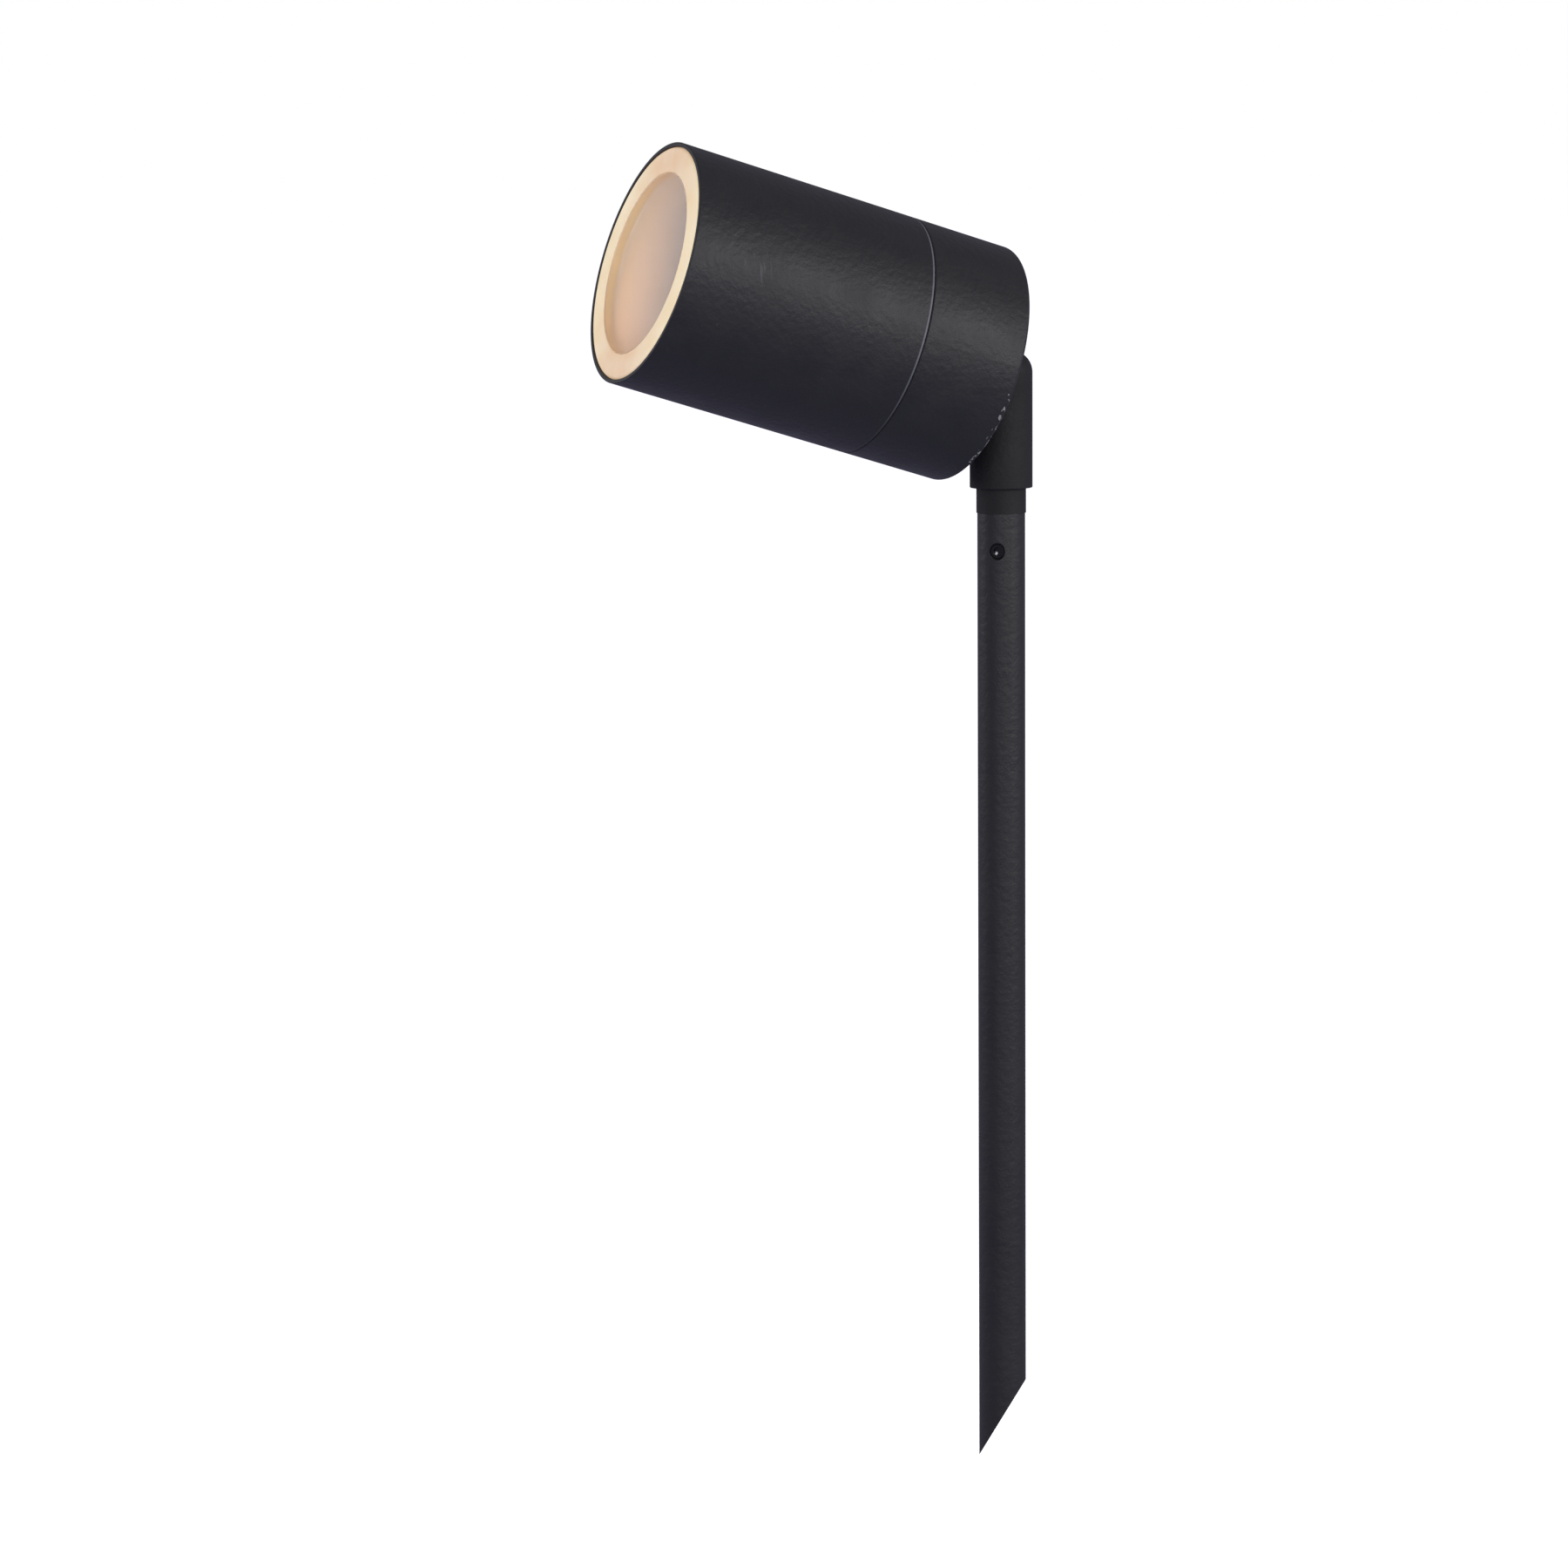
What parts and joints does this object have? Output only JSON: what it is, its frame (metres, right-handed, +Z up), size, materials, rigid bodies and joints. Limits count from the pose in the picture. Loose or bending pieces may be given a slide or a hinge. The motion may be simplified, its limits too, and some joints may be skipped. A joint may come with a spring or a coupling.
{
  "type": "garden spike spotlight",
  "caption": "Black cylinder garden spotlight with a tilting, swivelling head on a thin tube stake with a slant-cut point.",
  "frame": {"origin": "on the stake's axis at the ground line, 150.3 mm above the stake's point", "axes": "+Z up along the stake, out of the ground; the head faces -Y and is tilted 17 degrees up; +X is along the tilt axis, so +Y is behind the head"},
  "size_m": [0.063, 0.1167, 0.3522],
  "materials": {
    "powder_coat": "matte",
    "black_steel": "satin",
    "zinc_steel": "satin",
    "nylon_natural": "satin",
    "silicone_cream": "satin",
    "front_glass": "gloss",
    "nitrile_rubber": "matte",
    "polyamide_white": "satin",
    "brass": "satin",
    "steatite": "matte",
    "wire_brown": "satin",
    "wire_blue": "satin",
    "wire_green": "satin",
    "lamp_shell": "satin",
    "lamp_lens": "satin",
    "lamp_board": "satin",
    "led_phosphor": "satin",
    "circuit_board": "satin"
  },
  "bodies": {
    "stake": {"stake_tube": "powder_coat", "set_screw": "black_steel"},
    "knuckle": {"knuckle": "powder_coat", "pivot_screw": "black_steel", "pivot_spring_washer": "zinc_steel", "friction_washers": "nylon_natural"},
    "head": {"rear_cap": "powder_coat", "housing_orings": "nitrile_rubber", "cable_grommet": "nitrile_rubber", "cord_clamp": "polyamide_white", "cord_clamp_screws": "zinc_steel", "terminal_block": "polyamide_white", "terminal_tubes": "brass", "terminal_screws": "zinc_steel", "terminal_fixing_screw": "zinc_steel", "holder_bracket": "zinc_steel", "bracket_screws": "zinc_steel", "lamp_holder": "steatite", "holder_screws": "zinc_steel", "holder_contacts": "brass", "lead_live": "wire_brown", "lead_neutral": "wire_blue", "lead_earth": "wire_green", "earth_tag": "brass", "earth_screw": "zinc_steel"},
    "barrel": {"front_barrel": "powder_coat", "front_glass": "front_glass", "glass_gasket": "silicone_cream"},
    "lamp": {"lamp_housing": "lamp_shell", "lamp_lens": "lamp_lens", "lamp_led_board": "lamp_board", "lamp_leds": "led_phosphor", "lamp_driver": "circuit_board", "lamp_pins": "zinc_steel"}
  },
  "joints": [
    {"name": "swivel", "type": "hinge", "parent": "stake", "child": "knuckle", "pos_m": [0, 0, 0.1117], "axis": [0, 0, 1], "continuous": true},
    {"name": "tilt", "type": "hinge", "parent": "knuckle", "child": "head", "pos_m": [0, 0, 0.1415], "axis": [-1, 0, 0], "range_deg": [-17, 73]},
    {"name": "barrel_pull", "type": "slide", "parent": "head", "child": "barrel", "axis": [0, -0.9563, 0.2924], "range_m": [0, 0.085]},
    {"name": "lamp_twist", "type": "hinge", "parent": "head", "child": "lamp", "pos_m": [0, -0.04724, 0.15594], "axis": [0, -0.9563, 0.2924], "range_deg": [0, 25]}
  ]
}
